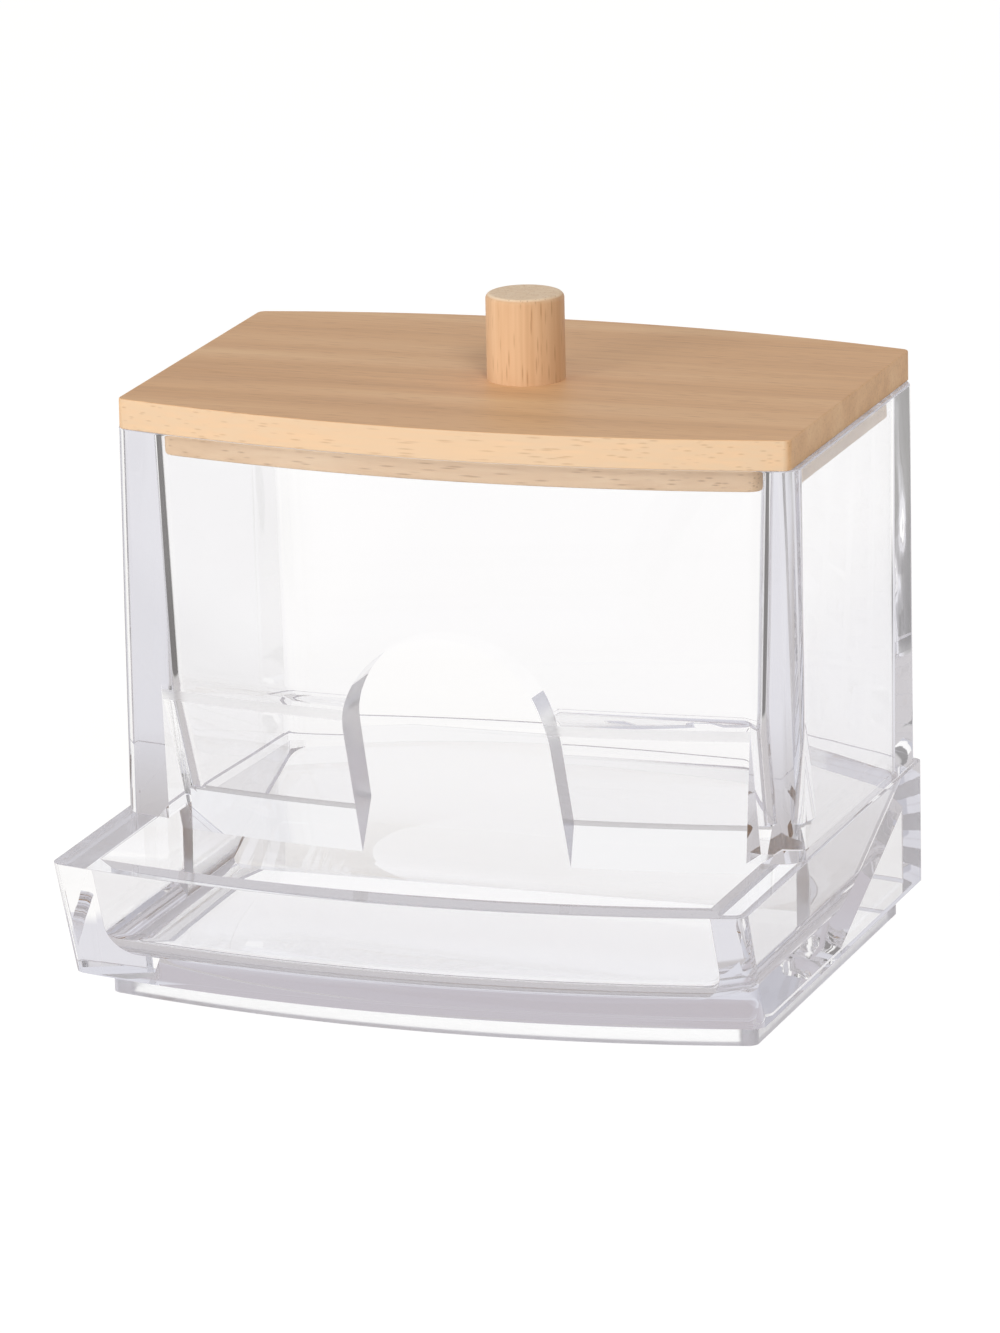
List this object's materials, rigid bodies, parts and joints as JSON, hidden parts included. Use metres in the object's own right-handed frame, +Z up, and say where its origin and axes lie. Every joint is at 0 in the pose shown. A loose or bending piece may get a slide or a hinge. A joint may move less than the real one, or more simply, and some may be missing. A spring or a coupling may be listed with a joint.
{
  "type": "cotton swab dispenser",
  "caption": "Clear hopper with a bowed front and finger arch on a clear tray with a ramp, under a bamboo lift-off lid with a knob; swabs roll forward into the open trough.",
  "frame": {"origin": "on the table under the middle of the tray's outline", "axes": "+Z up, -Y towards the open front of the tray, X along the swabs"},
  "size_m": [0.093, 0.0882, 0.0873],
  "materials": {
    "clear_plastic": "clear, polished",
    "bamboo_face": "sanded, oiled",
    "bamboo_edge": "sanded",
    "bamboo_turned": "turned, sanded",
    "screw_steel": "zinc plated"
  },
  "bodies": {
    "base": {"tray": "clear_plastic", "hopper": "clear_plastic"},
    "lid": {"lid_board": "bamboo_face", "lid_plug": "bamboo_edge", "knob": "bamboo_turned", "knob_screw": "screw_steel"}
  },
  "joints": [
    {"name": "lid_lift", "type": "slide", "parent": "base", "child": "lid", "axis": [0, 0, 1], "range_m": [0, 0.04]}
  ]
}
